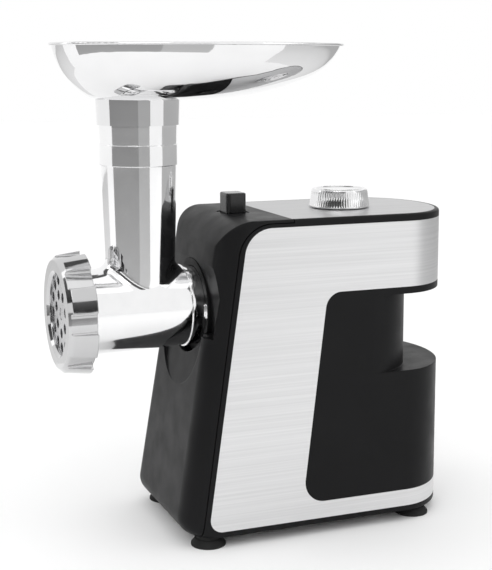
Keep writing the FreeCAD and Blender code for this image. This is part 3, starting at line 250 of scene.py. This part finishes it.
def soft_rubber(name, colour):
    made = Recipe(name, colour, 0.72, **{"Specular_IOR_Level": 0.25})
    made.relief(made.noise(1500.0, 3.0), 0.00003, 0.6)
    made.roughen(made.noise(80.0, 3.0), 0.64, 0.82)
    made.tint(made.noise(120.0, 3.0), colour, shade(colour, 1.5))
    return made.material


def engineering_plastic(name, colour):
    """Uncoloured nylon of gears, fan and bush: slightly waxy."""
    made = Recipe(name, colour, 0.45, **{"Subsurface_Weight": 0.08})
    made.relief(made.noise(1800.0, 2.0), 0.00001, 0.6)
    made.roughen(made.noise(90.0, 3.0), 0.38, 0.52)
    made.tint(made.noise(40.0, 3.0), shade(colour, 0.93), colour)
    return made.material


def wound_copper(name, colour):
    """Enamelled winding: fine parallel wires."""
    made = Recipe(name, colour, 0.34, 1.0)
    made.relief(made.noise((1800.0, 200.0, 1800.0), 1.0), 0.0002, 0.8)
    made.roughen(made.noise(200.0, 3.0), 0.26, 0.44)
    made.tint(made.noise((1500.0, 150.0, 1500.0), 2.0), shade(colour, 0.55), colour)
    return made.material


def stacked_sheet(name, colour):
    """Motor laminations: thin sheets stacked along Y."""
    made = Recipe(name, colour, 0.5, 0.8)
    made.relief(made.noise((30.0, 1900.0, 30.0), 1.0), 0.0001, 0.9)
    made.roughen(made.noise(150.0, 3.0), 0.42, 0.6)
    made.tint(made.noise((20.0, 1600.0, 20.0), 2.0), shade(colour, 0.7), colour)
    return made.material


HEAD_Y = (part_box("head_casting")[0][1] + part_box("hole_plate")[0][1]) / 2


def axis_point():
    """A point on the drive axis."""
    low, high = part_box("hole_plate")
    return Vector(((low[0] + high[0]) / 2, low[1], (low[2] + high[2]) / 2))


LINES_ROUND = (26.0, 26.0, 3400.0)
LINES_LENGTHWISE = (3400.0, 26.0, 400.0)

slot_materials = {
    "housing_plastic": moulded_plastic("satin_black", (0.0065, 0.0065, 0.007), 0.40),
    "button_plastic": moulded_plastic("gloss_black", (0.004, 0.004, 0.0043), 0.16, 0.000004, 0.55),
    "inner_plastic": moulded_plastic("matt_black", (0.005, 0.005, 0.0053), 0.50),
    "brushed_steel": brushed_sheet("brushed_wrap", (0.77, 0.77, 0.775), LINES_ROUND),
    "polished_steel": polished_sheet("polished_tray", (0.82, 0.82, 0.825)),
    "cast_aluminium": polished_casting("polished_head", (0.91, 0.91, 0.915)),
    "tool_steel": ground_steel("ground_tools", (0.62, 0.62, 0.63), axis_point()),
    "knob_chrome": polished_casting("knob_chrome", (0.84, 0.84, 0.845)),
    "rubber": soft_rubber("foot_rubber", (0.010, 0.010, 0.010)),
    "screw_steel": turned_metal("zinc_plate", (0.62, 0.62, 0.64), 0.30),
    "driver_plastic": engineering_plastic("white_nylon", (0.78, 0.78, 0.75)),
    "shaft_steel": turned_metal("turned_steel", (0.56, 0.56, 0.58), 0.26),
    "gear_plastic": engineering_plastic("natural_nylon", (0.74, 0.71, 0.63)),
    "bronze": turned_metal("sintered_bronze", (0.58, 0.40, 0.22), 0.42),
    "lamination_steel": stacked_sheet("laminations", (0.30, 0.31, 0.33)),
    "copper": wound_copper("winding_copper", (0.70, 0.33, 0.18)),
    "carbon": soft_rubber("carbon", (0.02, 0.02, 0.02)),
}
node_materials = {
    "top_plate": brushed_sheet("brushed_top", (0.60, 0.60, 0.605), LINES_LENGTHWISE),
    "screw_ring": polished_casting("polished_ring", (0.60, 0.60, 0.605)),
}


def dress_frame():
    """Give each CAD node the material of its slot."""
    for entry in frame["record"]["subparts"]:
        node = entry["node"]
        shown = frame["nodes"][node]
        material = node_materials.get(node, slot_materials[entry["material_slot"]])
        shown.data.materials.clear()
        shown.data.materials.append(material)


# ---- mesh helpers --------------------------------------------------------------------------------

def object_from(name, build):
    """Object in the scene made from a finished bmesh."""
    mesh = bpy.data.meshes.new(name)
    build.to_mesh(mesh)
    build.free()
    made = bpy.data.objects.new(name, mesh)
    bpy.context.collection.objects.link(made)
    return made


# ---- knurled knob --------------------------------------------------------------------------------

def knurled_knob():
    """Round tapered knob with upright grooves and a shallow dish in its top."""
    low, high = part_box("knob")
    centre = ((low[0] + high[0]) / 2, (low[1] + high[1]) / 2)
    base = min(high[0] - low[0], high[1] - low[1]) / 2 - KNOB_INSET
    height = high[2] - low[2]
    rim = base - KNOB_TAPER
    dish = rim - KNOB_DISH_EDGE
    dish_floor = height - KNOB_DISH_DEPTH
    groove_low = KNOB_GROOVE_START
    groove_high = height - KNOB_GROOVE_STOP

    def flank(z):
        return base - KNOB_TAPER * z / height

    # radius, height above the foot, and how much of the groove's depth is cut there
    levels = [
        (base - KNOB_EDGE, 0.0, 0.0),
        (base, KNOB_EDGE, 0.0),
        (flank(groove_low - KNOB_GROOVE_RUNOUT), groove_low - KNOB_GROOVE_RUNOUT, 0.0),
        (flank(groove_low), groove_low, 1.0),
        (flank(groove_high), groove_high, 1.0),
        (flank(groove_high + KNOB_GROOVE_RUNOUT), groove_high + KNOB_GROOVE_RUNOUT, 0.0),
        (rim, height - KNOB_EDGE, 0.0),
        (rim - KNOB_EDGE * 0.3, height - KNOB_EDGE * 0.3, 0.0),
        (rim - KNOB_EDGE, height, 0.0),
        (dish + 0.0003, height, 0.0),
        (dish, height - 0.0001, 0.0),
        (dish - 0.0002, dish_floor, 0.0),
        (dish * 0.5, dish_floor, 0.0),
    ]
    count = KNOB_RIBS * KNOB_STEPS_PER_RIB
    build = bmesh.new()
    loops = []
    for radius, z, cut in levels:
        loop = []
        for step in range(count):
            angle = 2 * math.pi * step / count
            reach = radius - max(0.0, math.cos(KNOB_RIBS * angle)) * KNOB_GROOVE * cut
            loop.append(build.verts.new((centre[0] + reach * math.cos(angle),
                                         centre[1] + reach * math.sin(angle), low[2] + z)))
        loops.append(loop)
    for lower, upper in zip(loops, loops[1:]):
        for step in range(count):
            after = (step + 1) % count
            build.faces.new((lower[step], lower[after], upper[after], upper[step]))
    build.faces.new(list(reversed(loops[0])))
    build.faces.new(loops[-1])
    for face in build.faces:
        face.smooth = True
    knob = object_from("knurled_knob", build)
    knob.data.materials.append(slot_materials["knob_chrome"])
    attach(knob, "knob")
    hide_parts("knob")


# ---- stage, light and camera ---------------------------------------------------------------------

def studio_floor():
    bpy.ops.mesh.primitive_plane_add(size=12.0, location=(0.0, 0.0, 0.0))
    floor = bpy.context.object
    floor.name = "studio_floor"
    made = Recipe("studio_paper", (0.93, 0.93, 0.93), 0.9, **{"Specular_IOR_Level": 0.1})
    made.tint(made.noise(3.0, 2.0), (0.92, 0.92, 0.92), (0.94, 0.94, 0.94))
    floor.data.materials.append(made.material)


def fan(from_angle, to_angle, steps):
    """Evenly spaced directions in radians from +X, for angles counted from the camera."""
    for step in range(steps + 1):
        yield math.radians(CAMERA_AZIMUTH + from_angle + (to_angle - from_angle) * step / steps)


def card_recipe(name):
    """Black matt material that only glows."""
    return Recipe(name, (0.0, 0.0, 0.0), 1.0, **{"Specular_IOR_Level": 0.0})


def grey_sector(name, from_angle, to_angle, height, stops):
    """Level card in a sector round the head, seen only in reflections.

    Angles run rightwards from the camera; stops give the radius and the grey there.
    """
    near = stops[0][0]
    far = stops[-1][0]
    build = bmesh.new()
    columns = []
    for angle in fan(from_angle, to_angle, CARD_STEPS):
        columns.append([build.verts.new((radius * math.cos(angle), radius * math.sin(angle), 0.0))
                        for radius in (near, far)])
    for left, right in zip(columns, columns[1:]):
        build.faces.new((left[0], left[1], right[1], right[0]))
    card = object_from(name, build)
    card.location = (0.0, HEAD_Y, height)
    made = card_recipe(name)
    coordinates = made.node("ShaderNodeTexCoord")
    distance = made.node("ShaderNodeVectorMath", operation="LENGTH")
    share = made.node("ShaderNodeMapRange")
    share.inputs["From Min"].default_value = near
    share.inputs["From Max"].default_value = far
    ramp = made.node("ShaderNodeValToRGB")
    elements = ramp.color_ramp.elements
    for index, (radius, grey) in enumerate(stops):
        position = (radius - near) / (far - near)
        element = elements[index] if index < 2 else elements.new(position)
        element.position = position
        element.color = (grey, grey, grey, 1.0)
    made.link(coordinates.outputs["Object"], distance.inputs[0])
    made.link(distance.outputs["Value"], share.inputs["Value"])
    made.link(share.outputs["Result"], ramp.inputs["Fac"])
    made.link(ramp.outputs["Color"], made.shader.inputs["Emission Color"])
    made.shader.inputs["Emission Strength"].default_value = 1.0
    card.data.materials.append(made.material)
    reflections_only(card)


def grey_wall(name, from_angle, to_angle, radius, high, grey_low, grey_high,
              foot=(0.0, HEAD_Y, WALL_CARD_FOOT)):
    """Upright curved card round the head or another foot point, seen only in reflections."""
    build = bmesh.new()
    columns = []
    for angle in fan(from_angle, to_angle, WALL_STEPS):
        x = radius * math.cos(angle)
        y = radius * math.sin(angle)
        columns.append([build.verts.new((x, y, 0.0)), build.verts.new((x, y, high))])
    for left, right in zip(columns, columns[1:]):
        build.faces.new((left[0], right[0], right[1], left[1]))
    card = object_from(name, build)
    card.location = foot
    made = card_recipe(name)
    coordinates = made.node("ShaderNodeTexCoord")
    split = made.node("ShaderNodeSeparateXYZ")
    grade = made.node("ShaderNodeMapRange")
    grade.inputs["From Max"].default_value = high
    grade.inputs["To Min"].default_value = grey_low
    grade.inputs["To Max"].default_value = grey_high
    made.link(coordinates.outputs["Object"], split.inputs["Vector"])
    made.link(split.outputs["Z"], grade.inputs["Value"])
    made.link(grade.outputs["Result"], made.shader.inputs["Emission Strength"])
    made.shader.inputs["Emission Color"].default_value = WHITE
    card.data.materials.append(made.material)
    reflections_only(card)


def flag(name, location, size, turn, grey):
    """Flat card seen only in reflections."""
    bpy.ops.mesh.primitive_plane_add(size=1.0, location=location)
    card = bpy.context.object
    card.name = name
    card.scale = (size[0], size[1], 1.0)
    card.rotation_euler = Euler(turn)
    made = card_recipe(name)
    made.shader.inputs["Emission Color"].default_value = WHITE
    made.shader.inputs["Emission Strength"].default_value = grey
    card.data.materials.append(made.material)
    reflections_only(card)


def reflections_only(card):
    card.visible_camera = False
    card.visible_shadow = False
    card.visible_diffuse = False


def softbox(name, location, target, size, power):
    data = bpy.data.lights.new(name, "AREA")
    data.shape = "RECTANGLE"
    data.size, data.size_y = size
    data.energy = power
    lamp = bpy.data.objects.new(name, data)
    lamp.location = location
    lamp.rotation_euler = (Vector(target) - Vector(location)).to_track_quat("-Z", "Y").to_euler()
    bpy.context.collection.objects.link(lamp)


def studio_light():
    world = bpy.data.worlds.new("studio_white")
    world.use_nodes = True
    background = world.node_tree.nodes["Background"]
    background.inputs["Color"].default_value = WHITE
    background.inputs["Strength"].default_value = 1.0
    bpy.context.scene.world = world
    middle = (0.0, 0.0, 0.16)
    softbox("key_softbox", (1.3, -0.9, 1.2), middle, (1.0, 1.0), 4.0)
    softbox("rear_softbox", (0.9, 1.3, 0.9), middle, (0.9, 1.2), 2.0)
    softbox("head_softbox", (-0.4, -1.4, 1.0), middle, (0.9, 0.9), 2.0)
    daylight = bpy.data.lights.new("overhead_daylight", "SUN")
    daylight.energy = 0.28
    daylight.angle = math.radians(70)
    lamp = bpy.data.objects.new("overhead_daylight", daylight)
    bpy.context.collection.objects.link(lamp)
    floor_stops = {
        "grey_left": (HEAD_LEFT, [(0.66, 0.46), (1.20, 0.38), (1.90, 0.30)]),
        "grey_front": (HEAD_FRONT, [(0.66, 0.62), (1.20, 0.54), (1.90, 0.44)]),
        "grey_right": (HEAD_RIGHT, [(0.50, 0.92), (1.00, 0.72), (1.25, 0.50), (2.20, 0.46)]),
        "grey_far": (HEAD_FAR, [(0.50, 0.90), (1.00, 0.80), (2.20, 0.60)]),
    }
    for name, (angles, stops) in floor_stops.items():
        grey_sector(name, *angles, FLOOR_CARD_HEIGHT, stops)
    grey_wall("grey_wall_left", *HEAD_LEFT, WALL_RADIUS, 0.27, 0.36, 0.20)
    grey_wall("grey_wall_front", *HEAD_FRONT, WALL_RADIUS, 0.27, 0.50, 0.34)
    grey_wall("grey_wall_right", *HEAD_RIGHT, RIGHT_WALL_RADIUS, 0.50, 0.46, 0.60)
    knob_low, knob_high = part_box("knob")
    knob_foot = ((knob_low[0] + knob_high[0]) / 2, (knob_low[1] + knob_high[1]) / 2,
                 knob_low[2] + KNOB_CARD_LIFT)
    grey_wall("knob_dark", -92.0, 16.0, KNOB_CARD_RADIUS, KNOB_CARD_HIGH, 0.04, 0.16, knob_foot)
    grey_wall("knob_grey", 62.0, 140.0, KNOB_CARD_RADIUS, KNOB_CARD_HIGH, 0.42, 0.50, knob_foot)
    flag("dark_overhead", (-0.55, 0.0, 1.15), (0.7, 1.6), (0.0, math.radians(32), 0.0), 0.10)


def photo_camera():
    """Long lens at the height of the tray, looking slightly down on the head's right side."""
    data = bpy.data.cameras.new("camera")
    data.lens = CAMERA_LENS
    data.sensor_width = CAMERA_SENSOR
    camera = bpy.data.objects.new("camera", data)
    camera.location = CAMERA_LOCATION
    camera.rotation_mode = "QUATERNION"
    camera.rotation_quaternion = Vector(CAMERA_FORWARD).to_track_quat("-Z", "Y")
    bpy.context.collection.objects.link(camera)
    bpy.context.scene.camera = camera


def colour_management():
    view = bpy.context.scene.view_settings
    view.view_transform = "Standard"
    view.look = "None"


dress_frame()
knurled_knob()
studio_floor()
studio_light()
photo_camera()
colour_management()
